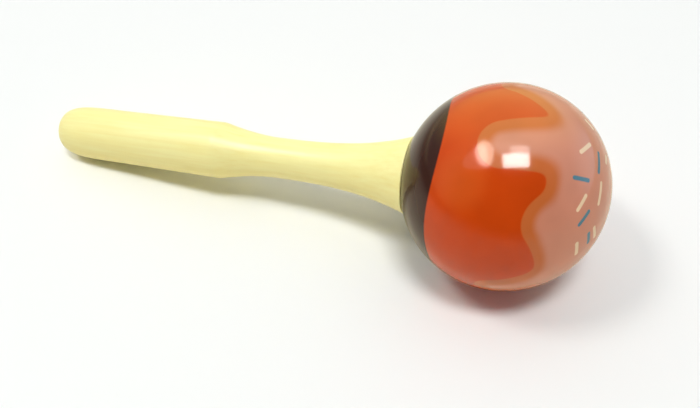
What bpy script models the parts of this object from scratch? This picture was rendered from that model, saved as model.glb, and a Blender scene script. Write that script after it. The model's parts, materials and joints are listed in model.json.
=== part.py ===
# Wooden rattle: a hollow turned ball of two glued shells, a turned handle and loose beads inside.
# Metres, +Z up. It lies on its side on z = 0, with the ball at +X and the handle towards -X.
# The origin is under the middle of its bounding box.
import math

import bmesh
import bpy

# Head
BALL_DIAMETER = 0.062
WALL = 0.0045
SPIGOT_HEIGHT = 0.003        # how far the base shell's spigot reaches past the rims
GLUE_GAP = 0.0003            # glue line left between any two glued faces

# Handle, from the ball to the end
TENON_DIAMETER = 0.012
TENON_PROUD = 0.001          # how far the tenon stands into the chamber
TENON_CHAMFER = 0.0006
SEAT_WIDTH = 0.00625         # hollowed ring around the tenon that sits on the ball
FLARE_LENGTH = 0.0457        # seat rim to the narrowest point of the neck
FLARE_SWEEP = 2.8            # how quickly the flare opens: 1 is a cone, more is a trumpet
NECK_DIAMETER = 0.0132
SHOULDER_LENGTH = 0.0202     # neck to the full grip
SHOULDER_SWEEP = 1.75        # how late the shoulder rises: 1 is a cone, more leaves a soft corner at the grip
GRIP_DIAMETER = 0.0189       # at the shoulder
GRIP_LENGTH = 0.0393         # straight taper from the shoulder to the round end
GRIP_END_DIAMETER = 0.0183   # where the round end starts
END_DEPTH = 0.0244           # of the round end, before its flat is cut
END_FULLNESS = 4.5           # 2 is half an ellipse, more keeps the end full before it turns in
END_FLAT_DIAMETER = 0.006    # small flat on the round end

# Beads
BEAD_DIAMETER = 0.005
BEAD_RINGS = 2               # rings of beads around the middle one
BEAD_GAP = 0.0003            # between beads, and from a bead to the chamber wall

# Linear colours
YELLOW = (0.871, 0.791, 0.323)
ORANGE = (0.546, 0.053, 0.005)
PINK = (0.68, 0.29, 0.19)
BARE_WOOD = (0.47, 0.29, 0.14)
GLOSS_ROUGHNESS = 0.2
SATIN_ROUGHNESS = 0.25
BARE_ROUGHNESS = 0.5

# Fineness of the facets
SIDES = 40
ARC_STEPS = 10
FLARE_STEPS = 9
SHOULDER_STEPS = 8
END_STEPS = 9
SEAT_STEPS = 3
BEAD_SIDES = 12
BEAD_BANDS = 8
TILT_ROUNDS = 60
MERGE_DISTANCE = 0.000001
SHARP_ANGLE = math.radians(35)

# Sizes that follow from those above
ball_r = BALL_DIAMETER / 2
chamber_r = ball_r - WALL
tenon_r = TENON_DIAMETER / 2
socket_r = tenon_r + GLUE_GAP
rim_r = tenon_r + SEAT_WIDTH
seat_r = ball_r + GLUE_GAP
neck_r = NECK_DIAMETER / 2
grip_r = GRIP_DIAMETER / 2
end_r = GRIP_END_DIAMETER / 2
flat_r = END_FLAT_DIAMETER / 2
bead_r = BEAD_DIAMETER / 2


def height_on_sphere(sphere_r, radius):
    return math.sqrt(sphere_r ** 2 - radius ** 2)


# Distances from the ball's centre along the handle
tenon_end = height_on_sphere(chamber_r, socket_r) - TENON_PROUD
seat_start = height_on_sphere(seat_r, rim_r)
neck_at = seat_start + FLARE_LENGTH
grip_at = neck_at + SHOULDER_LENGTH
round_at = grip_at + GRIP_LENGTH
handle_end = round_at + END_DEPTH * (1 - (flat_r / end_r) ** END_FULLNESS) ** (1 / END_FULLNESS)

# The ball and the round end both touch the floor, so the handle slopes down from the ball.
# Each round takes how far the end reaches down at the last slope and corrects the slope.
tilt = 0
for _ in range(TILT_ROUNDS):
    across = (end_r * math.cos(tilt)) ** (END_FULLNESS / (END_FULLNESS - 1))
    along = (END_DEPTH * math.sin(tilt)) ** (END_FULLNESS / (END_FULLNESS - 1))
    end_drop = (across + along) ** (1 - 1 / END_FULLNESS)
    tilt = math.asin((ball_r - end_drop) / round_at)
ball_x = (handle_end * math.cos(tilt) + flat_r * math.sin(tilt) - ball_r) / 2
ball_z = ball_r


def arc(sphere_r, start, end, steps):
    # Points (radius, height) on a sphere's outline, by the angle above its equator
    angles = [start + (end - start) * step / steps for step in range(steps + 1)]
    return [(sphere_r * math.cos(angle), sphere_r * math.sin(angle)) for angle in angles]


def finish(name, colour, roughness):
    material = bpy.data.materials.new(name)
    material.use_nodes = True
    shader = material.node_tree.nodes["Principled BSDF"]
    shader.inputs["Base Color"].default_value = (*colour, 1)
    shader.inputs["Roughness"].default_value = roughness
    shader.inputs["Metallic"].default_value = 0
    material.diffuse_color = (*colour, 1)
    return material


def finished_mesh(name, form, material):
    # Makes a smooth-shaded mesh from a closed form
    bmesh.ops.recalc_face_normals(form, faces=form.faces)
    mesh = bpy.data.meshes.new(name)
    form.to_mesh(mesh)
    form.free()
    mesh.shade_smooth()
    mesh.set_sharp_from_angle(angle=SHARP_ANGLE)
    mesh.materials.append(material)
    return mesh


def add_object(name, mesh):
    piece = bpy.data.objects.new(name, mesh)
    bpy.context.collection.objects.link(piece)
    return piece


def turn(name, profile, material, parent, closed=False):
    # Turns a profile of (radius, height) points about the parent's Z, with a flat facet facing the floor
    form = bmesh.new()
    half_side = math.pi / SIDES
    points = [form.verts.new((radius * math.cos(half_side), radius * math.sin(half_side), height))
              for radius, height in profile]
    followers = points[1:] + points[:1] if closed else points[1:]
    edges = [form.edges.new(pair) for pair in zip(points, followers)]
    bmesh.ops.spin(form, geom=points + edges, axis=(0, 0, 1), cent=(0, 0, 0),
                   angle=math.tau, steps=SIDES, use_merge=True)
    bmesh.ops.remove_doubles(form, verts=form.verts, dist=MERGE_DISTANCE)
    piece = add_object(name, finished_mesh(name, form, material))
    piece.parent = parent


def add_turning_axis():
    # Its Z runs from the ball's centre to the far pole, away from the handle
    axis = add_object("turning_axis", None)
    axis.location = (ball_x, 0, ball_z)
    axis.rotation_euler = (0, math.pi / 2 - tilt, 0)
    return axis


# The rims meet in the plane of the equator, and the glue line there is split between the two shells
rim_height = GLUE_GAP / 2
spigot_r = chamber_r + (WALL - GLUE_GAP) / 2
rebate_r = spigot_r + GLUE_GAP
rebate_floor = SPIGOT_HEIGHT + GLUE_GAP


def add_base_shell(parent):
    # Half ball with the handle's socket through its pole and a spigot on its rim
    outside = arc(ball_r, -math.asin(rim_height / ball_r), -math.acos(socket_r / ball_r), ARC_STEPS)
    spigot_top = math.asin(SPIGOT_HEIGHT / chamber_r)
    inside = arc(chamber_r, -math.acos(socket_r / chamber_r), spigot_top, ARC_STEPS)
    spigot = [(spigot_r, SPIGOT_HEIGHT), (spigot_r, -rim_height)]
    material = finish("orange_lacquer", ORANGE, GLOSS_ROUGHNESS)
    turn("head_base_shell", outside + inside + spigot, material, parent, closed=True)


def add_cap_shell(parent):
    # Closed half ball with a rebate in its rim for the spigot
    outside = arc(ball_r, math.pi / 2, math.asin(rim_height / ball_r), ARC_STEPS)
    rebate = [(rebate_r, rim_height), (rebate_r, rebate_floor)]
    inside = arc(chamber_r, math.asin(rebate_floor / chamber_r), math.pi / 2, ARC_STEPS)
    material = finish("pink_lacquer", PINK, GLOSS_ROUGHNESS)
    turn("head_cap_shell", outside + rebate + inside, material, parent)


def add_handle(parent):
    # Tenon, hollowed seat, flare, neck, shoulder, tapered grip and round end
    tenon = [(0, -tenon_end), (tenon_r - TENON_CHAMFER, -tenon_end), (tenon_r, -tenon_end - TENON_CHAMFER)]
    seat = arc(seat_r, -math.acos(tenon_r / seat_r), -math.acos(rim_r / seat_r), SEAT_STEPS)
    flare = []
    for step in range(1, FLARE_STEPS + 1):
        along = step / FLARE_STEPS
        radius = neck_r + (rim_r - neck_r) * (1 - along) ** FLARE_SWEEP
        flare.append((radius, -seat_start - FLARE_LENGTH * along))
    shoulder = []
    for step in range(1, SHOULDER_STEPS + 1):
        along = step / SHOULDER_STEPS
        radius = neck_r + (grip_r - neck_r) * along ** SHOULDER_SWEEP
        shoulder.append((radius, -neck_at - SHOULDER_LENGTH * along))
    round_end = []
    flat_angle = math.acos((flat_r / end_r) ** (END_FULLNESS / 2))
    for step in range(END_STEPS + 1):
        angle = flat_angle * step / END_STEPS
        radius = end_r * math.cos(angle) ** (2 / END_FULLNESS)
        round_end.append((radius, -round_at - END_DEPTH * math.sin(angle) ** (2 / END_FULLNESS)))
    profile = tenon + seat + flare + shoulder + round_end + [(0, -handle_end)]
    material = finish("yellow_lacquer", YELLOW, SATIN_ROUGHNESS)
    turn("handle", profile, material, parent)


def bead_lanes():
    # Places (x, y) of the beads from the ball's centre, close packed, each with its depth below the centre.
    # A bead lies only where its way straight up to the chamber's roof is at least one bead long.
    pitch = BEAD_DIAMETER + BEAD_GAP
    facet_r = chamber_r * math.cos(math.pi / SIDES) ** 2
    reach = facet_r - bead_r - BEAD_GAP
    lanes = []
    for row in range(-BEAD_RINGS, BEAD_RINGS + 1):
        for column in range(max(-BEAD_RINGS, -BEAD_RINGS - row), min(BEAD_RINGS, BEAD_RINGS - row) + 1):
            x = pitch * row * math.sin(math.pi / 3)
            y = pitch * (column + row / 2)
            if math.hypot(x, y) ** 2 + bead_r ** 2 < reach ** 2:
                lanes.append((x, y, math.sqrt(reach ** 2 - x ** 2 - y ** 2)))
    return lanes


def add_beads():
    form = bmesh.new()
    bmesh.ops.create_uvsphere(form, u_segments=BEAD_SIDES, v_segments=BEAD_BANDS, radius=bead_r)
    mesh = finished_mesh("rattle_bead", form, finish("bead_wood", BARE_WOOD, BARE_ROUGHNESS))
    for number, (x, y, depth) in enumerate(bead_lanes(), start=1):
        bead = add_object(f"rattle_bead_{number:02d}", mesh)
        bead.location = (ball_x + x, y, ball_z - depth)


def main():
    for leftover in list(bpy.data.objects):
        bpy.data.objects.remove(leftover)
    axis = add_turning_axis()
    add_base_shell(axis)
    add_cap_shell(axis)
    add_handle(axis)
    add_beads()


main()
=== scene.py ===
import json
import math

import bpy
from mathutils import Matrix, Vector


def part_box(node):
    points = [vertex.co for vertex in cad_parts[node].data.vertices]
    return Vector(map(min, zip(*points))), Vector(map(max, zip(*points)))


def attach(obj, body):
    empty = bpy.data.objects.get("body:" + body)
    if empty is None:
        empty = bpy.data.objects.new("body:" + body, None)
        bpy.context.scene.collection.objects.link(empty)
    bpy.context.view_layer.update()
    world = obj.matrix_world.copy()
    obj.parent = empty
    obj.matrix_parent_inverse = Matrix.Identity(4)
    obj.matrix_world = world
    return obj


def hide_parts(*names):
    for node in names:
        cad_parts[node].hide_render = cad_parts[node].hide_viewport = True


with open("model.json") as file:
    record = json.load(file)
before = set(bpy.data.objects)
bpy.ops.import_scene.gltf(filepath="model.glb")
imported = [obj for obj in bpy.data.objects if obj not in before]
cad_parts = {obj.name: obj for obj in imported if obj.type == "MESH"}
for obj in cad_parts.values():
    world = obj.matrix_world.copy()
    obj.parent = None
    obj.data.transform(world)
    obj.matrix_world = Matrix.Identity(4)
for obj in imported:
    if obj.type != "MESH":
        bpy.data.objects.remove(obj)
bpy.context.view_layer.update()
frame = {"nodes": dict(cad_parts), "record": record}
mm = 0.001
print("frame loaded:", len(frame["nodes"]), "nodes")

# where the rattle lies: the record's mount on the handle's end gives the turning axis
whole = dict(
    ballRadius=31.0,         # mm
    handleReach=158.367,     # ball's centre to the flat on the handle's end, mm
    glueLine=0.3,            # gap left between glued faces, mm
)
butt = next(mount for mount in frame["record"]["mounts"] if mount["name"] == "butt_flat")
poleDir = -Vector(butt["axis"]).normalized()      # towards the far pole of the ball
ballCentre = Vector(butt["pos_m"]) + poleDir * whole["handleReach"] * mm
upDir = (Vector((0, 0, 1)) - poleDir * poleDir.z).normalized()
sideDir = poleDir.cross(upDir)                    # towards the camera's side
turnEuler = Matrix((upDir, sideDir, poleDir)).transposed().to_euler()


def deselectAll():
    if bpy.context.object and bpy.context.object.mode != "OBJECT":
        bpy.ops.object.mode_set(mode="OBJECT")
    bpy.ops.object.select_all(action="DESELECT")


def linearColour(hexColour):
    # sRGB hex to linear, with alpha
    parts = [int(hexColour[place:place + 2], 16) / 255 for place in (1, 3, 5)]
    return (*[p / 12.92 if p <= 0.04045 else ((p + 0.055) / 1.055) ** 2.4 for p in parts], 1)


def addNode(tree, kind, settings=None, links=None):
    # a link's value is another node's socket, or a plain number or vector
    node = tree.nodes.new("ShaderNode" + kind)
    for name, value in (settings or {}).items():
        setattr(node, name, value)
    for socket, source in (links or {}).items():
        if isinstance(source, bpy.types.NodeSocket):
            tree.links.new(source, node.inputs[socket])
        else:
            node.inputs[socket].default_value = source
    return node


def newMaterial(name):
    material = bpy.data.materials.new(name)
    material.use_nodes = True
    tree = material.node_tree
    shader = tree.nodes["Principled BSDF"]
    place = addNode(tree, "TexCoord").outputs["Object"]
    return material, tree, shader, place


def layGrain(tree, place, across, along, texture):
    # a noise pattern that lies along the turning axis, with its real size in mm
    laid = addNode(tree, "Mapping", {"vector_type": "TEXTURE"}, {
        "Vector": place, "Location": ballCentre, "Rotation": turnEuler,
        "Scale": (across * mm, across * mm, along * mm)})
    noise = addNode(tree, "TexNoise", None, {"Vector": laid.outputs[0], "Scale": 1.0, **texture})
    return noise.outputs[0]


# camera, from the outlines of the ball and the handle in the photograph
cameraSpec = dict(
    fromBall=(0.005458, -0.161217, 0.201975),     # from the ball's foot on the floor, m
    tilt=37.114,                                  # degrees up from straight down
    turn=18.506,
    focalPixels=765.5,
    shiftUp=0.07286,                              # the photograph is cut off below its middle
    imageWidth=700,
    sensor=36.0,
    clipStart=0.01,                               # m
)
deselectAll()
bpy.ops.object.camera_add(
    location=Vector((ballCentre.x, 0, 0)) + Vector(cameraSpec["fromBall"]),
    rotation=(math.radians(cameraSpec["tilt"]), 0, math.radians(cameraSpec["turn"])))
photoCamera = bpy.context.object
photoCamera.name = "photoCamera"
photoCamera.data.sensor_width = cameraSpec["sensor"]
photoCamera.data.lens = cameraSpec["focalPixels"] * cameraSpec["sensor"] / cameraSpec["imageWidth"]
photoCamera.data.shift_y = cameraSpec["shiftUp"]
photoCamera.data.clip_start = cameraSpec["clipStart"]
bpy.context.scene.camera = photoCamera
print("camera set, lens", round(photoCamera.data.lens, 2))

# lathe: how every turned piece is closed and shaded
latheSpec = dict(
    mergeDistance=0.001,     # mm
    smoothAngle=30,          # degrees, sharper edges stay sharp
)


def turnPiece(name, profile, sides):
    # draws the profile (radius, height in mm) vertex by vertex, spins it and lays it on the turning axis
    points = [Vector((radius, 0, height)) * mm for radius, height in profile]
    deselectAll()
    bpy.ops.mesh.primitive_plane_add(size=mm)
    bpy.ops.object.mode_set(mode="EDIT")
    bpy.ops.mesh.merge(type="CENTER")
    bpy.ops.transform.translate(value=points[0])
    for here, there in zip(points, points[1:]):
        bpy.ops.mesh.extrude_region_move(TRANSFORM_OT_translate={"value": there - here})
    bpy.ops.mesh.select_all(action="SELECT")
    bpy.ops.mesh.spin(steps=sides, angle=math.tau, center=(0, 0, 0), axis=(0, 0, 1))
    bpy.ops.mesh.select_all(action="SELECT")
    bpy.ops.mesh.remove_doubles(threshold=latheSpec["mergeDistance"] * mm)
    bpy.ops.mesh.normals_make_consistent(inside=False)
    bpy.ops.object.mode_set(mode="OBJECT")
    piece = bpy.context.object
    piece.name = name
    piece.data.name = name
    piece.rotation_euler = turnEuler
    piece.location = ballCentre
    bpy.ops.object.transform_apply(location=True, rotation=True, scale=True)
    bpy.ops.object.shade_smooth_by_angle(angle=math.radians(latheSpec["smoothAngle"]))
    print("turned", name, len(piece.data.polygons), "faces")
    return piece


def arcPoints(radius, start, end, steps):
    # points on a round section, by the angle above the equator in degrees
    angles = [math.radians(start + (end - start) * step / steps) for step in range(steps + 1)]
    return [(radius * math.cos(angle), radius * math.sin(angle)) for angle in angles]


# handle: one turned length of wood from tenon to round end, sizes in mm
handleSpec = dict(
    tenonRadius=6.0,
    tenonStart=24.74,        # from the ball's centre
    tenonChamfer=0.6,
    seatRadius=31.03,        # hollow that sits on the ball, drawn tight so that no gap shows
    seatSteps=8,
    rimRadius=12.25,
    rimSoftness=0.3,         # how far the rim's edge is sanded round
    rimCorner=[(0.12, 0.1), (0.02, 0.45)],        # shares of that: in from the rim, and along the handle
    flareLength=45.7,
    flareSweep=2.8,          # 1 is a cone, more is a trumpet
    flareStart=0.02,         # share of the flare that the rim's edge takes up
    flareSteps=48,
    neckRadius=6.6,
    shoulderLength=20.2,
    shoulderSweep=1.75,      # 1 is a cone, more rises later
    shoulderSteps=24,
    cornerSoftness=1.0,      # how far the shoulder's corner is sanded round on each side
    cornerSteps=10,
    gripRadius=9.45,
    gripLength=39.3,         # straight taper from the shoulder to the round end
    gripSteps=20,
    endRadius=9.15,          # where the round end starts
    endDepth=24.4,
    endFullness=4.5,         # 2 is half an ellipse, more keeps the end full before it turns in
    endSteps=40,
    flatRadius=3.0,
    flatEase=0.35,           # how far in from its edge the flat is level
    flatCrown=0.03,          # how far it stands out past its edge
    sides=160,
)


def handleProfile(spec):
    # radius and height from the tenon's end to the round end; the handle lies below the ball's centre
    rimAt = math.sqrt((whole["ballRadius"] + whole["glueLine"]) ** 2 - spec["rimRadius"] ** 2)
    neckAt = rimAt + spec["flareLength"]
    gripAt = neckAt + spec["shoulderLength"]
    roundAt = gripAt + spec["gripLength"]

    def between(first, last, share):
        return first + (last - first) * share

    def gripRadius(share):
        return between(spec["gripRadius"], spec["endRadius"], share)

    chamfer = spec["tenonChamfer"]
    profile = [(0, -spec["tenonStart"]), (spec["tenonRadius"] - chamfer, -spec["tenonStart"]),
               (spec["tenonRadius"], -spec["tenonStart"] - chamfer)]

    soft = spec["rimSoftness"]
    seatInner = -math.degrees(math.acos(spec["tenonRadius"] / spec["seatRadius"]))
    seatOuter = -math.degrees(math.acos((spec["rimRadius"] - soft) / spec["seatRadius"]))
    profile += arcPoints(spec["seatRadius"], seatInner, seatOuter, spec["seatSteps"])
    profile += [(spec["rimRadius"] - inward * soft, -rimAt - onward * soft)
                for inward, onward in spec["rimCorner"]]

    for step in range(1, spec["flareSteps"] + 1):
        share = between(spec["flareStart"], 1, step / spec["flareSteps"])
        radius = between(spec["neckRadius"], spec["rimRadius"], (1 - share) ** spec["flareSweep"])
        profile.append((radius, -rimAt - spec["flareLength"] * share))

    lastShare = 1 - spec["cornerSoftness"] / spec["shoulderLength"]
    for step in range(1, spec["shoulderSteps"] + 1):
        share = lastShare * step / spec["shoulderSteps"]
        radius = between(spec["neckRadius"], spec["gripRadius"], share ** spec["shoulderSweep"])
        profile.append((radius, -neckAt - spec["shoulderLength"] * share))

    # the soft corner between shoulder and grip
    firstShare = spec["cornerSoftness"] / spec["gripLength"]
    before = Vector(profile[-1])
    corner = Vector((spec["gripRadius"], -gripAt))
    after = Vector((gripRadius(firstShare), -gripAt - spec["cornerSoftness"]))
    for step in range(1, spec["cornerSteps"] + 1):
        share = step / spec["cornerSteps"]
        point = before * (1 - share) ** 2 + corner * 2 * share * (1 - share) + after * share ** 2
        profile.append(tuple(point))

    for step in range(1, spec["gripSteps"] + 1):
        share = between(firstShare, 1, step / spec["gripSteps"])
        profile.append((gripRadius(share), -gripAt - spec["gripLength"] * share))

    power = 2 / spec["endFullness"]
    flatAngle = math.acos((spec["flatRadius"] / spec["endRadius"]) ** (1 / power))
    for step in range(1, spec["endSteps"] + 1):
        angle = flatAngle * step / spec["endSteps"]
        profile.append((spec["endRadius"] * math.cos(angle) ** power,
                        -roundAt - spec["endDepth"] * math.sin(angle) ** power))
    flatAt = profile[-1][1] - spec["flatCrown"]
    flatRadii = (spec["flatRadius"] - spec["flatEase"], spec["flatRadius"] / 2, 0)
    profile += [(radius, flatAt) for radius in flatRadii]
    return profile


handle = turnPiece("turnedHandle", handleProfile(handleSpec), handleSpec["sides"])

# head: two turned shells glued rim to rim, sizes in mm
shellSpec = dict(
    wall=4.5,
    socketRadius=6.3,
    spigotHeight=3.0,
    spigotChamfer=0.3,
    tightRing=0.06,          # degrees: a hair-thin last ring, so the two rims shade as one surface
    baseSteps=64,            # along the outside of the base shell
    capSteps=72,             # along the outside of the cap shell
    insideSteps=40,
    sides=192,
)


def baseShellProfile(spec):
    # outside from rim to socket, then inside back up to the spigot
    outer = whole["ballRadius"]
    inner = outer - spec["wall"]
    spigotRadius = inner + (spec["wall"] - whole["glueLine"]) / 2
    socketOuter = -math.degrees(math.acos(spec["socketRadius"] / outer))
    socketInner = -math.degrees(math.acos(spec["socketRadius"] / inner))
    spigotTop = math.degrees(math.asin(spec["spigotHeight"] / inner))
    outside = [(outer, 0)] + arcPoints(outer, -spec["tightRing"], socketOuter, spec["baseSteps"])
    inside = arcPoints(inner, socketInner, spigotTop, spec["insideSteps"])
    spigot = [(spigotRadius - spec["spigotChamfer"], spec["spigotHeight"]),
              (spigotRadius, spec["spigotHeight"] - spec["spigotChamfer"]),
              (spigotRadius, -whole["glueLine"] / 2)]
    return outside + inside + spigot + [(outer, 0)]


def capShellProfile(spec):
    # outside from the far pole to the rim, the rebate, then inside back to the pole
    outer = whole["ballRadius"]
    inner = outer - spec["wall"]
    rebateRadius = inner + (spec["wall"] + whole["glueLine"]) / 2
    rebateFloor = spec["spigotHeight"] + whole["glueLine"]
    outside = arcPoints(outer, 90, spec["tightRing"], spec["capSteps"]) + [(outer, 0)]
    rebate = [(rebateRadius, whole["glueLine"] / 2), (rebateRadius, rebateFloor)]
    inside = arcPoints(inner, math.degrees(math.asin(rebateFloor / inner)), 90, spec["insideSteps"])
    return outside + rebate + inside


baseShell = turnPiece("headBaseShell", baseShellProfile(shellSpec), shellSpec["sides"])
capShell = turnPiece("headCapShell", capShellProfile(shellSpec), shellSpec["sides"])

# beads: tumbled wooden balls with small flats where they were cut off, one modelled and copied
beadSpec = dict(
    radius=2.5,              # mm
    flatAt=0.95,             # share of the radius where the cut-off flats lie
    segments=28,
    rings=18,
    smoothAngle=40,          # degrees
)


def makeFirstBead(spec, middle):
    deselectAll()
    bpy.ops.mesh.primitive_uv_sphere_add(segments=spec["segments"], ring_count=spec["rings"],
                                         radius=spec["radius"] * mm, location=middle)
    bead = bpy.context.object
    bpy.ops.object.transform_apply(location=True, rotation=True, scale=True)
    reach = spec["radius"] * spec["flatAt"] * mm
    for side in (1, -1):
        bpy.ops.object.mode_set(mode="EDIT")
        bpy.ops.mesh.select_all(action="DESELECT")
        bpy.ops.object.mode_set(mode="OBJECT")
        for vertex in bead.data.vertices:
            vertex.select = (vertex.co.z - middle.z) * side > reach
        bpy.ops.object.mode_set(mode="EDIT")
        bpy.ops.transform.resize(value=(1, 1, 0), center_override=middle + Vector((0, 0, side * reach)))
    bpy.ops.object.mode_set(mode="OBJECT")
    bpy.ops.object.shade_smooth_by_angle(angle=math.radians(spec["smoothAngle"]))
    return bead


beadNames = sorted(name for name in frame["nodes"] if name.startswith("rattle_bead_"))
beadMiddles = {name: sum(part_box(name), Vector()) / 2 for name in beadNames}
firstBead = makeFirstBead(beadSpec, beadMiddles[beadNames[0]])
beads = {beadNames[0]: firstBead}
for name in beadNames[1:]:
    deselectAll()
    firstBead.select_set(True)
    bpy.context.view_layer.objects.active = firstBead
    bpy.ops.object.duplicate(linked=False)
    copy = bpy.context.object
    copy.location = beadMiddles[name] - beadMiddles[beadNames[0]]
    bpy.ops.object.transform_apply(location=True, rotation=True, scale=True)
    beads[name] = copy
for name, bead in beads.items():
    bead.name = "tumbledBead" + name[-3:]
    bead.data.name = bead.name
print("beads made:", len(beads))

# handle's finish: satin spray lacquer on close-grained wood, an even pale yellow in which the grain shows as
# faint streaks
handlePaint = dict(
    yellow="#FDF8B1",
    yellowThin="#F8EE9E",    # where the lacquer lies thinner
    grainWidth=1.4,          # mm across the grain
    grainLength=30.0,        # mm along it
    cloudWidth=9.0,          # mm, soft unevenness of the spray
    cloudLength=19.8,
    grainShare=0.65,         # how much of the unevenness follows the grain
    thinFrom=0.4,            # level of the unevenness where the lacquer starts to thin out
    thinTo=0.65,
    thinMost=0.9,
    smoothest=0.285,         # roughness, which follows the grain
    roughest=0.33,
    ripple=0.03,             # mm, drawn deeper than the real film so that it shows
    rippleStrength=0.35,
    ior=1.4,
)


def makeHandlePaint(spec):
    material, tree, shader, place = newMaterial("satinYellowLacquer")
    grain = layGrain(tree, place, spec["grainWidth"], spec["grainLength"],
                     {"Detail": 3.0, "Roughness": 0.55, "Distortion": 0.2})
    cloud = layGrain(tree, place, spec["cloudWidth"], spec["cloudLength"], {"Detail": 2.0, "Roughness": 0.5})
    cover = addNode(tree, "Mix", {"data_type": "FLOAT"}, {"Factor": spec["grainShare"], 2: cloud, 3: grain})
    thin = addNode(tree, "MapRange", None, {
        "Value": cover.outputs[0], "From Min": spec["thinFrom"], "From Max": spec["thinTo"],
        "To Min": 0.0, "To Max": spec["thinMost"]})
    colour = addNode(tree, "Mix", {"data_type": "RGBA"}, {
        "Factor": thin.outputs[0], 6: linearColour(spec["yellow"]), 7: linearColour(spec["yellowThin"])})
    rough = addNode(tree, "MapRange", None, {
        "Value": grain, "From Min": 0.3, "From Max": 0.7,
        "To Min": spec["smoothest"], "To Max": spec["roughest"]})
    bump = addNode(tree, "Bump", None, {
        "Height": grain, "Strength": spec["rippleStrength"], "Distance": spec["ripple"] * mm})
    tree.links.new(colour.outputs[2], shader.inputs["Base Color"])
    tree.links.new(rough.outputs[0], shader.inputs["Roughness"])
    tree.links.new(bump.outputs[0], shader.inputs["Normal"])
    shader.inputs["IOR"].default_value = spec["ior"]
    return material


# ball's finish: sprayed colours under one clear gloss coat with a faint orange peel; turn runs round the axis
# from the top towards the camera's side, drop runs from the far pole to the handle, both in degrees; other
# sizes are mm
ballPaint = dict(
    orange="#CB460D",
    brown="#3B1F17",
    pink="#D38C72",
    tan="#C96B36",
    cream="#EFD2AE",
    blue="#477D92",
    brownEdge=121.7,         # drop of the brown zone's edge, and how far and how often it waves
    brownWave=2.6,
    brownWaves=3,
    brownWaveTurn=20.0,      # turn at which a wave reaches furthest
    icingEdge=62.2,
    tanSoftness=4.2,         # how round the bays between the drips are
    pinkSoftness=9.0,
    outline=3.9,             # width of the tan outline
    edgeBlur=0.3,            # sprayed and printed edges are a little soft
    sprinkleBlur=0.18,
    pinkBlur=1.5,            # the pink is sprayed, so it fades into its outline
    dripRoot=45.0,           # drop at which the drips start
    drips=[                  # turn of the tip, its drop and half width, turn of the root and its half width
        (-26.1, 96.3, 5.9, -16.2, 11.7), (21.7, 99.0, 7.0, 8.8, 9.6), (60.5, 71.7, 8.1, 83.9, 8.7),
        (111.8, 94.6, 5.3, 105.9, 8.3), (156, 74, 7.5, 160, 8.5), (204, 96, 6.5, 198, 9.5),
        (247, 71, 7.8, 240, 8.5), (288, 91, 6.2, 284, 9.5)],
    sprinkleWidth=1.2,
    creamSprinkles=[         # turn and drop of both ends
        ((-1.3, 41.9), (10.9, 46.5)), ((41.4, 38.1), (52.4, 42.0)), ((82.8, 39.2), (96, 38.7)),
        ((24, 26.9), (47, 26)), ((-25.5, 47.8), (-26.0, 42.5)), ((-17.7, 26.9), (-8.6, 25.8)),
        ((76.4, 26.5), (94.5, 24.7)), ((130, 32), (144, 37.5)), ((170, 41), (186, 37)),
        ((207, 25), (228, 21)), ((224, 39.5), (239, 35.5)), ((268, 31), (280, 38)),
        ((292, 44), (306, 39)), ((130, 11), (178, 12.5))],
    blueSprinkles=[
        ((30.7, 47.6), (28.8, 38.2)), ((54.6, 33.9), (64.7, 39.4)), ((-3.2, 34.3), (15.2, 31.1)),
        ((79.3, 30.9), (92.9, 30.2)), ((148, 22.5), (168, 27.5)), ((187, 45.5), (199, 41.5)),
        ((242, 25.5), (260, 22.5)), ((254, 45.5), (265, 48.5)), ((294, 22.5), (314, 27.5)),
        ((138, 46), (142, 38))],
    spraySize=14.0,          # soft unevenness of the spray, and how dark and light it gets
    sprayDark=0.94,
    sprayLight=1.05,
    peelSize=1.6,            # orange peel of the clear coat
    peelDepth=0.02,
    peelStrength=0.06,
    coatRoughness=0.11,
    ior=1.38,
)


def onBall(turn, drop):
    # a point on the ball in its own millimetres: x up, y to the camera's side, z to the far pole
    around = math.radians(turn)
    down = math.radians(drop)
    outward = Vector((math.sin(down) * math.cos(around), math.sin(down) * math.sin(around), math.cos(down)))
    return whole["ballRadius"] * outward


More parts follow.
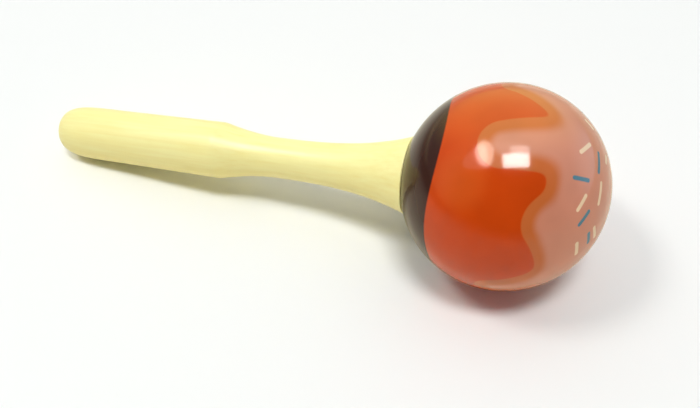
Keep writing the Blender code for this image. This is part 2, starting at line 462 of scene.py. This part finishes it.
def makeBallPaint(spec):
    material, tree, shader, place = newMaterial("glossBallLacquer")
    radius = whole["ballRadius"]
    ballPlace = addNode(tree, "Mapping", {"vector_type": "TEXTURE"}, {
        "Vector": place, "Location": ballCentre, "Rotation": turnEuler, "Scale": (mm, mm, mm)}).outputs[0]
    axes = addNode(tree, "SeparateXYZ", None, {0: ballPlace})
    outward = addNode(tree, "VectorMath", {"operation": "NORMALIZE"}, {0: ballPlace})
    outAxes = addNode(tree, "SeparateXYZ", None, {0: outward.outputs[0]})
    drop = addNode(tree, "Math", {"operation": "ARCCOSINE"}, {0: outAxes.outputs["Z"]}).outputs[0]
    turn = addNode(tree, "Math", {"operation": "ARCTAN2"}, {
        0: axes.outputs["Y"], 1: axes.outputs["X"]}).outputs[0]

    def segmentDistance(start, end):
        # distance to the line between two points on the ball, and the share of the way along it
        along = end - start
        pull = along / along.length_squared
        share = addNode(tree, "VectorMath", {"operation": "DOT_PRODUCT"}, {0: ballPlace, 1: pull})
        held = addNode(tree, "Math", {"operation": "SUBTRACT", "use_clamp": True}, {
            0: share.outputs["Value"], 1: start.dot(pull)})
        nearest = addNode(tree, "VectorMath", {"operation": "MULTIPLY_ADD"}, {
            0: held.outputs[0], 1: along, 2: start})
        distance = addNode(tree, "VectorMath", {"operation": "DISTANCE"}, {
            0: ballPlace, 1: nearest.outputs[0]})
        return distance.outputs["Value"], held.outputs[0]

    def inside(distance, edge, blur):
        # 1 where the distance is under the edge, 0 beyond it
        mask = addNode(tree, "MapRange", {"interpolation_type": "SMOOTHSTEP"}, {
            "Value": distance, "From Min": edge - blur, "From Max": edge + blur,
            "To Min": 1.0, "To Max": 0.0})
        return mask.outputs[0]

    # icing: a cap on the far pole with rounded drips running down from it
    tanIcing = addNode(tree, "Math", {"operation": "MULTIPLY_ADD"}, {
        0: drop, 1: radius, 2: -radius * math.radians(spec["icingEdge"])}).outputs[0]
    pinkIcing = tanIcing
    for tipTurn, tip, tipWidth, rootTurn, rootWidth in spec["drips"]:
        tipCentre = onBall(tipTurn, tip - math.degrees(tipWidth / radius))
        reach, share = segmentDistance(tipCentre, onBall(rootTurn, spec["dripRoot"]))
        width = addNode(tree, "Math", {"operation": "MULTIPLY_ADD"}, {
            0: share, 1: rootWidth - tipWidth, 2: tipWidth}).outputs[0]
        edge = addNode(tree, "Math", {"operation": "SUBTRACT"}, {0: reach, 1: width}).outputs[0]
        tanIcing = addNode(tree, "Math", {"operation": "SMOOTH_MIN"}, {
            0: tanIcing, 1: edge, 2: spec["tanSoftness"]}).outputs[0]
        pinkIcing = addNode(tree, "Math", {"operation": "SMOOTH_MIN"}, {
            0: pinkIcing, 1: edge, 2: spec["pinkSoftness"]}).outputs[0]

    # brown zone round the handle, with a slow wave in its edge
    wave = addNode(tree, "Math", {"operation": "MULTIPLY_ADD"}, {
        0: turn, 1: spec["brownWaves"], 2: -spec["brownWaves"] * math.radians(spec["brownWaveTurn"])})
    swing = addNode(tree, "Math", {"operation": "COSINE"}, {0: wave.outputs[0]})
    brownDrop = addNode(tree, "Math", {"operation": "MULTIPLY_ADD"}, {
        0: swing.outputs[0], 1: -math.radians(spec["brownWave"]), 2: math.radians(spec["brownEdge"])})
    brownReach = addNode(tree, "Math", {"operation": "SUBTRACT"}, {0: brownDrop.outputs[0], 1: drop})
    brownDistance = addNode(tree, "Math", {"operation": "MULTIPLY"}, {
        0: brownReach.outputs[0], 1: radius}).outputs[0]

    sprinkleSets = []
    for ends in (spec["creamSprinkles"], spec["blueSprinkles"]):
        nearest = None
        for first, last in ends:
            reach = segmentDistance(onBall(*first), onBall(*last))[0]
            nearest = reach if nearest is None else addNode(tree, "Math", {"operation": "MINIMUM"}, {
                0: nearest, 1: reach}).outputs[0]
        sprinkleSets.append(nearest)

    # the sprayed and printed layers, each over the one before
    halfWidth = spec["sprinkleWidth"] / 2
    layers = [
        (inside(tanIcing, 0.0, spec["edgeBlur"]), spec["tan"]),
        (inside(pinkIcing, -spec["outline"], spec["pinkBlur"]), spec["pink"]),
        (inside(sprinkleSets[0], halfWidth, spec["sprinkleBlur"]), spec["cream"]),
        (inside(sprinkleSets[1], halfWidth, spec["sprinkleBlur"]), spec["blue"]),
        (inside(brownDistance, 0.0, spec["edgeBlur"]), spec["brown"])]
    colour = linearColour(spec["orange"])
    for mask, hexColour in layers:
        colour = addNode(tree, "Mix", {"data_type": "RGBA"}, {
            "Factor": mask, 6: colour, 7: linearColour(hexColour)}).outputs[2]

    spray = layGrain(tree, place, spec["spraySize"], spec["spraySize"], {"Detail": 2.0, "Roughness": 0.5})
    uneven = addNode(tree, "MapRange", None, {
        "Value": spray, "From Min": 0.3, "From Max": 0.7,
        "To Min": spec["sprayDark"], "To Max": spec["sprayLight"]})
    sprayed = addNode(tree, "VectorMath", {"operation": "SCALE"}, {0: colour, "Scale": uneven.outputs[0]})
    peel = layGrain(tree, place, spec["peelSize"], spec["peelSize"], {"Detail": 1.0, "Roughness": 0.4})
    bump = addNode(tree, "Bump", None, {
        "Height": peel, "Strength": spec["peelStrength"], "Distance": spec["peelDepth"] * mm})
    tree.links.new(sprayed.outputs[0], shader.inputs["Base Color"])
    tree.links.new(bump.outputs[0], shader.inputs["Normal"])
    shader.inputs["Roughness"].default_value = spec["coatRoughness"]
    shader.inputs["IOR"].default_value = spec["ior"]
    return material


# bare turned beech inside the head and on the beads: fine long grain with short dark flecks
beechSpec = dict(
    light="#CFA577",
    dark="#A97C4F",
    fleck="#8A5F3A",
    grainWidth=0.7,          # mm
    grainLength=9.0,
    fleckWidth=0.25,
    fleckLength=1.8,
    fleckFrom=0.62,          # level of the noise where a fleck starts, and where it is full
    fleckTo=0.72,
    fleckMost=0.6,
    grainDepth=0.05,         # mm
    grainStrength=0.3,
    roughness=0.55,
)


def makeBeech(spec):
    material, tree, shader, place = newMaterial("bareBeech")
    grain = layGrain(tree, place, spec["grainWidth"], spec["grainLength"], {"Detail": 4.0, "Roughness": 0.6})
    fleck = layGrain(tree, place, spec["fleckWidth"], spec["fleckLength"], {"Detail": 1.0})
    tone = addNode(tree, "Mix", {"data_type": "RGBA"}, {
        "Factor": grain, 6: linearColour(spec["light"]), 7: linearColour(spec["dark"])})
    speck = addNode(tree, "MapRange", None, {
        "Value": fleck, "From Min": spec["fleckFrom"], "From Max": spec["fleckTo"],
        "To Min": 0.0, "To Max": spec["fleckMost"]})
    colour = addNode(tree, "Mix", {"data_type": "RGBA"}, {
        "Factor": speck.outputs[0], 6: tone.outputs[2], 7: linearColour(spec["fleck"])})
    bump = addNode(tree, "Bump", None, {
        "Height": grain, "Strength": spec["grainStrength"], "Distance": spec["grainDepth"] * mm})
    tree.links.new(colour.outputs[2], shader.inputs["Base Color"])
    tree.links.new(bump.outputs[0], shader.inputs["Normal"])
    shader.inputs["Roughness"].default_value = spec["roughness"]
    return material


# floor: matt white card, lit like any surface so that it keeps the shadows
floorSpec = dict(
    size=24,                 # m
    white="#F5F8F7",
    bounce="#FFF7E6",        # what it throws back on the rattle
    mirrored="#F3F0DC",      # what the gloss shows of it
    away="#6E6E6C",          # what the gloss shows of its front and left, where the studio is dark
    frontFrom=-0.05,         # m, towards the camera
    frontTo=-0.42,
    leftFrom=-0.03,          # m, towards the handle's end
    leftTo=-0.3,
    behind="#E8DDB4",        # what the gloss shows of it far behind the rattle, below the warm wall
    behindFrom=0.06,         # m, away from the camera
    behindTo=0.5,
    farFrom=0.5,             # m from the rattle, where the card starts to fade into the white background
    farTo=2.2,
    roughness=0.9,
)
deselectAll()
bpy.ops.mesh.primitive_plane_add(size=floorSpec["size"], location=(0, 0, 0))
floor = bpy.context.object
floor.name = "paleFloor"


def makeFloorCard(spec):
    material, tree, shader, place = newMaterial("mattWhiteCard")
    rays = addNode(tree, "LightPath")
    seen = rays.outputs["Is Camera Ray"]
    shown = addNode(tree, "Math", {"operation": "MAXIMUM"}, {
        0: rays.outputs["Is Glossy Ray"], 1: rays.outputs["Is Transmission Ray"]})
    axes = addNode(tree, "SeparateXYZ", None, {0: place})
    front, left = [addNode(tree, "MapRange", {"interpolation_type": "SMOOTHSTEP"}, {
        "Value": axes.outputs[axis], "From Min": spec[side + "To"], "From Max": spec[side + "From"],
        "To Min": 1.0, "To Max": 0.0}).outputs[0] for axis, side in (("Y", "front"), ("X", "left"))]
    behind = addNode(tree, "MapRange", {"interpolation_type": "SMOOTHSTEP"}, {
        "Value": axes.outputs["Y"], "From Min": spec["behindFrom"], "From Max": spec["behindTo"]})
    away = addNode(tree, "Math", {"operation": "MAXIMUM"}, {0: front, 1: left})
    mirrored = addNode(tree, "Mix", {"data_type": "RGBA"}, {
        "Factor": away.outputs[0], 6: linearColour(spec["mirrored"]), 7: linearColour(spec["away"])})
    thrown = addNode(tree, "Mix", {"data_type": "RGBA"}, {
        "Factor": shown.outputs[0], 6: linearColour(spec["bounce"]), 7: mirrored.outputs[2]})
    colour = addNode(tree, "Mix", {"data_type": "RGBA"}, {
        "Factor": seen, 6: thrown.outputs[2], 7: linearColour(spec["white"])})

    # far from the rattle it glows evenly: white to the camera, the warm tone to the gloss
    distance = addNode(tree, "VectorMath", {"operation": "LENGTH"}, {0: place})
    far = addNode(tree, "MapRange", {"interpolation_type": "SMOOTHSTEP"}, {
        "Value": distance.outputs["Value"], "From Min": spec["farFrom"], "From Max": spec["farTo"]})
    farSeen = addNode(tree, "Math", {"operation": "MULTIPLY"}, {0: far.outputs[0], 1: seen})
    behindShown = addNode(tree, "Math", {"operation": "MULTIPLY"}, {
        0: behind.outputs[0], 1: shown.outputs[0]})
    even = addNode(tree, "Math", {"operation": "MAXIMUM"}, {
        0: farSeen.outputs[0], 1: behindShown.outputs[0]}).outputs[0]
    near = addNode(tree, "Mix", {"data_type": "RGBA"}, {
        "Factor": even, 6: colour.outputs[2], 7: (0, 0, 0, 1)})
    beyond = addNode(tree, "Mix", {"data_type": "RGBA"}, {
        "Factor": seen, 6: linearColour(spec["behind"]), 7: (1, 1, 1, 1)})
    tree.links.new(near.outputs[2], shader.inputs["Base Color"])
    tree.links.new(even, shader.inputs["Emission Strength"])
    tree.links.new(beyond.outputs[2], shader.inputs["Emission Color"])
    shader.inputs["Roughness"].default_value = spec["roughness"]
    shader.inputs["Specular IOR Level"].default_value = 0.0
    return material


ballLacquer = makeBallPaint(ballPaint)
bareBeech = makeBeech(beechSpec)
handle.data.materials.append(makeHandlePaint(handlePaint))
floor.data.materials.append(makeFloorCard(floorSpec))
for bead in beads.values():
    bead.data.materials.append(bareBeech)
paintDepth = 0.1                                   # mm, faces further in than this stay bare
for shell in (baseShell, capShell):                # lacquer outside, bare wood inside and in the joints
    shell.data.materials.append(ballLacquer)
    shell.data.materials.append(bareBeech)
    deselectAll()
    shell.select_set(True)
    bpy.context.view_layer.objects.active = shell
    bpy.ops.object.mode_set(mode="EDIT")
    bpy.ops.mesh.select_mode(type="FACE")
    bpy.ops.mesh.select_all(action="DESELECT")
    bpy.ops.object.mode_set(mode="OBJECT")
    for face in shell.data.polygons:
        face.select = (face.center - ballCentre).length < (whole["ballRadius"] - paintDepth) * mm
    shell.active_material_index = 1
    bpy.ops.object.mode_set(mode="EDIT")
    bpy.ops.object.material_slot_assign()
    bpy.ops.mesh.select_mode(type="VERT")
    bpy.ops.object.mode_set(mode="OBJECT")
print("materials made")

# light: two soft panels overhead light the matt surfaces, and the gloss shows their bright tubes and glows
# instead; distance in m, size in degrees as seen from the ball
lampSpec = [
    dict(name="mainPanel", lights="matt", shape="RECTANGLE", distance=2.6,
         direction=(0.109, -0.211, 0.971), size=(17, 9.5), radiance=31.0, colour="#FFFFFF"),
    dict(name="sidePanel", lights="matt", shape="RECTANGLE", distance=2.6,
         direction=(-0.523, -0.16, 0.837), size=(10, 14), radiance=18.8, colour="#FFFBF6"),
    dict(name="mainGlint", lights="gloss", shape="RECTANGLE", distance=2.5,
         direction=(0.109, -0.211, 0.971), size=(26, 14.5), radiance=32.0, colour="#FFFFFF"),
    dict(name="mainGlow", lights="gloss", shape="RECTANGLE", distance=2.4,
         direction=(0.126, -0.009, 0.992), size=(18, 9), radiance=9.0, colour="#FFF4F0"),
    dict(name="sideGlint", lights="gloss", shape="ELLIPSE", distance=2.5,
         direction=(-0.434, -0.164, 0.886), size=(18, 29), radiance=12.8, colour="#FFF0E2"),
    dict(name="sideGlow", lights="gloss", shape="ELLIPSE", distance=2.4,
         direction=(-0.457, -0.162, 0.875), size=(9, 22), radiance=9.0, colour="#FFF0E2"),
    dict(name="haloGlow", lights="gloss", shape="ELLIPSE", distance=2.2,
         direction=(-0.248, -0.168, 0.954), size=(68, 28), radiance=1.6, colour="#FFF0E6"),
]
cameraTurn = math.radians(cameraSpec["turn"])
cameraRight = Vector((math.cos(cameraTurn), math.sin(cameraTurn), 0))
for spec in lampSpec:
    deselectAll()
    reach = Vector(spec["direction"]).normalized() * spec["distance"]
    bpy.ops.object.light_add(type="AREA", location=ballCentre + reach)
    lamp = bpy.context.object
    lamp.name = spec["name"]
    back = reach.normalized()
    wide = (cameraRight - back * cameraRight.dot(back)).normalized()
    lamp.rotation_euler = Matrix((wide, back.cross(wide), back)).transposed().to_euler()
    lamp.data.shape = spec["shape"]
    lamp.data.size, lamp.data.size_y = [
        2 * spec["distance"] * math.tan(math.radians(degrees / 2)) for degrees in spec["size"]]
    area = lamp.data.size * lamp.data.size_y * (math.pi / 4 if spec["shape"] == "ELLIPSE" else 1)
    lamp.data.energy = spec["radiance"] * math.pi * area
    lamp.data.color = linearColour(spec["colour"])[:3]
    lamp.visible_diffuse = spec["lights"] == "matt"
    lamp.visible_glossy = spec["lights"] == "gloss"

# room: pale, brighter overhead and dark behind the camera, white to the camera itself
roomSpec = dict(
    horizon=0.42,            # level at the horizon
    ceiling=0.8,             # level overhead
    leftShare=0.6,           # how much of it the gloss shows at the left, and at the right
    rightShare=1.4,
    darkDirection=(0.12, -0.87, 0.47),
    darkFrom=0.2,            # how closely a direction has to face it, as a cosine
    darkTo=0.75,
    darkShare=0.03,
    softShare=0.86,          # how much of the room's level lights the matt surfaces
    softDark=0.1,            # and what is left of it on the dark side
    softLeft=1.46,           # its share at the left, and at the right
    softRight=0.65,
    glows=[                  # soft bright parts of the room that only the gloss shows
        dict(direction=(-0.191, 0.674, 0.713), start=0.45, full=0.97, level=1.72, colour="#FFF36C"),
        dict(direction=(-0.72, -0.5, 0.48), start=0.78, full=1.0, level=1.2, colour="#FFF480"),
        dict(direction=(0.85, 0.52, 0.08), start=0.84, full=1.0, level=1.3, colour="#FFFFFF")],
)


def makeRoom(spec):
    world = bpy.data.worlds.new("paleRoom")
    world.use_nodes = True
    tree = world.node_tree
    background = tree.nodes["Background"]
    direction = addNode(tree, "TexCoord").outputs["Generated"]
    rays = addNode(tree, "LightPath")
    axes = addNode(tree, "SeparateXYZ", None, {0: direction})
    pale = addNode(tree, "MapRange", None, {
        "Value": axes.outputs["Z"], "To Min": spec["horizon"], "To Max": spec["ceiling"]})
    facing = addNode(tree, "VectorMath", {"operation": "DOT_PRODUCT"}, {
        0: direction, 1: Vector(spec["darkDirection"]).normalized()})
    dark = addNode(tree, "MapRange", {"interpolation_type": "SMOOTHSTEP"}, {
        "Value": facing.outputs["Value"], "From Min": spec["darkFrom"], "From Max": spec["darkTo"],
        "To Min": 1.0, "To Max": spec["darkShare"]})

    # what the gloss shows
    sideways = addNode(tree, "MapRange", None, {
        "Value": axes.outputs["X"], "From Min": -1.0,
        "To Min": spec["leftShare"], "To Max": spec["rightShare"]})
    sided = addNode(tree, "Math", {"operation": "MULTIPLY"}, {0: pale.outputs[0], 1: sideways.outputs[0]})
    level = addNode(tree, "Math", {"operation": "MULTIPLY"}, {0: dark.outputs[0], 1: sided.outputs[0]})

    # what lights the matt surfaces
    softDark = addNode(tree, "MapRange", None, {
        "Value": dark.outputs[0], "To Min": spec["softDark"], "To Max": spec["softShare"]})
    softSided = addNode(tree, "MapRange", None, {
        "Value": axes.outputs["X"], "From Min": -1.0,
        "To Min": spec["softLeft"], "To Max": spec["softRight"]})
    softLevel = addNode(tree, "Math", {"operation": "MULTIPLY"}, {
        0: softSided.outputs[0], 1: softDark.outputs[0]})
    soft = addNode(tree, "Math", {"operation": "MULTIPLY"}, {0: pale.outputs[0], 1: softLevel.outputs[0]})

    thrown = addNode(tree, "Mix", {"data_type": "FLOAT"}, {
        "Factor": rays.outputs["Is Glossy Ray"], 2: soft.outputs[0], 3: level.outputs[0]})
    strength = addNode(tree, "Mix", {"data_type": "FLOAT"}, {
        "Factor": rays.outputs["Is Camera Ray"], 2: thrown.outputs[0], 3: 1.0})
    tree.links.new(strength.outputs[0], background.inputs["Strength"])
    background.inputs["Color"].default_value = (1, 1, 1, 1)
    roomLight = background.outputs[0]
    for glow in spec["glows"]:
        towards = addNode(tree, "VectorMath", {"operation": "DOT_PRODUCT"}, {
            0: direction, 1: Vector(glow["direction"]).normalized()})
        bright = addNode(tree, "MapRange", {"interpolation_type": "SMOOTHSTEP"}, {
            "Value": towards.outputs["Value"], "From Min": glow["start"], "From Max": glow["full"],
            "To Min": 0.0, "To Max": glow["level"]})
        shown = addNode(tree, "Math", {"operation": "MULTIPLY"}, {
            0: bright.outputs[0], 1: rays.outputs["Is Glossy Ray"]})
        part = addNode(tree, "Background", None, {
            "Color": linearColour(glow["colour"]), "Strength": shown.outputs[0]})
        roomLight = addNode(tree, "AddShader", None, {0: roomLight, 1: part.outputs[0]}).outputs[0]
    tree.links.new(roomLight, tree.nodes["World Output"].inputs["Surface"])
    return world


bpy.context.scene.world = makeRoom(roomSpec)
bpy.context.scene.view_settings.view_transform = "Standard"
print("light set")

# every piece moves with its CAD body and stands for its CAD node
for piece, node, slotName in ((handle, "handle", "yellow_lacquer"),
                              (baseShell, "head_base_shell", "orange_lacquer"),
                              (capShell, "head_cap_shell", "pink_lacquer")):
    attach(piece, "rattle")
    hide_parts(node)
for name, bead in beads.items():
    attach(bead, name.replace("rattle_", ""))
    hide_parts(name)

print("pieces ride on their bodies")
